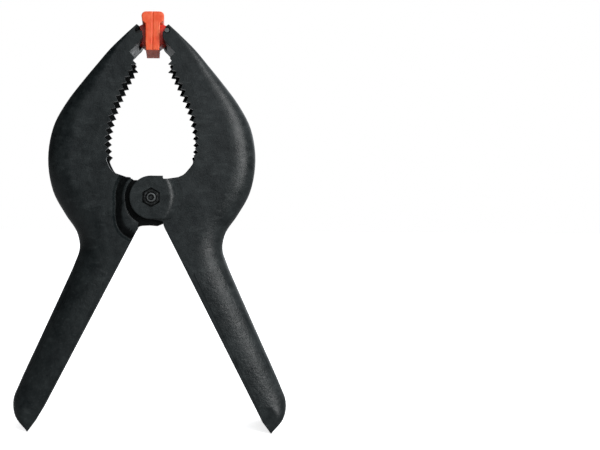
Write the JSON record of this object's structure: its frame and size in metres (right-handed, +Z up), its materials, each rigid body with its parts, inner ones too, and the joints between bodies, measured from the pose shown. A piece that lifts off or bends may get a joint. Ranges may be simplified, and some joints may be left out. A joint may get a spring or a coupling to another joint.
{
  "type": "spring clamp",
  "caption": "Hand spring clamp: two toothed nylon channel arms on a bolted pivot, closed by a torsion spring, with swivelling orange jaw pads.",
  "frame": {"origin": "on the ground under the middle of the clamp, which stands on its two handle tips", "axes": "+Z up along the clamp from the handle tips to the jaws, +X to the right across the two arms, +Y away from the nut side, along the pivot bolt towards its head"},
  "size_m": [0.1476, 0.034, 0.2247],
  "materials": {
    "black_nylon": "satin moulded nylon with a fine grain",
    "orange_pad": "smooth moulded soft plastic",
    "dark_steel": "blackened steel, worn bright at the end",
    "pin_steel": "drawn wire",
    "spring_steel": "drawn wire, lightly oiled"
  },
  "bodies": {
    "left_arm": {"left_arm": "black_nylon", "left_pad_pin": "pin_steel", "torsion_spring": "spring_steel"},
    "right_arm": {"right_arm": "black_nylon", "right_pad_pin": "pin_steel", "pivot_bolt": "dark_steel", "pivot_nut": "dark_steel", "pivot_sleeve": "black_nylon"},
    "left_pad": {"left_pad": "orange_pad"},
    "right_pad": {"right_pad": "orange_pad"}
  },
  "joints": [
    {"name": "jaw_pivot", "type": "hinge", "parent": "left_arm", "child": "right_arm", "pos_m": [0, 0, 0.1252], "axis": [0, 1, 0], "range_deg": [0, 45], "stiffness_Nm_per_rad": 1.2, "springref_deg": -40.11, "deforming": ["torsion_spring"]},
    {"name": "left_pad_swivel", "type": "hinge", "parent": "left_arm", "child": "left_pad", "pos_m": [-0.00765, 0, 0.2142], "axis": [0, 1, 0], "range_deg": [-25, 25]},
    {"name": "right_pad_swivel", "type": "hinge", "parent": "right_arm", "child": "right_pad", "pos_m": [0.00765, 0, 0.2142], "axis": [0, 1, 0], "range_deg": [-25, 25]}
  ],
  "couplings": [
    {"joint": "left_pad_swivel", "follows": "jaw_pivot", "ratio": 0.5},
    {"joint": "right_pad_swivel", "follows": "jaw_pivot", "ratio": -0.5}
  ]
}
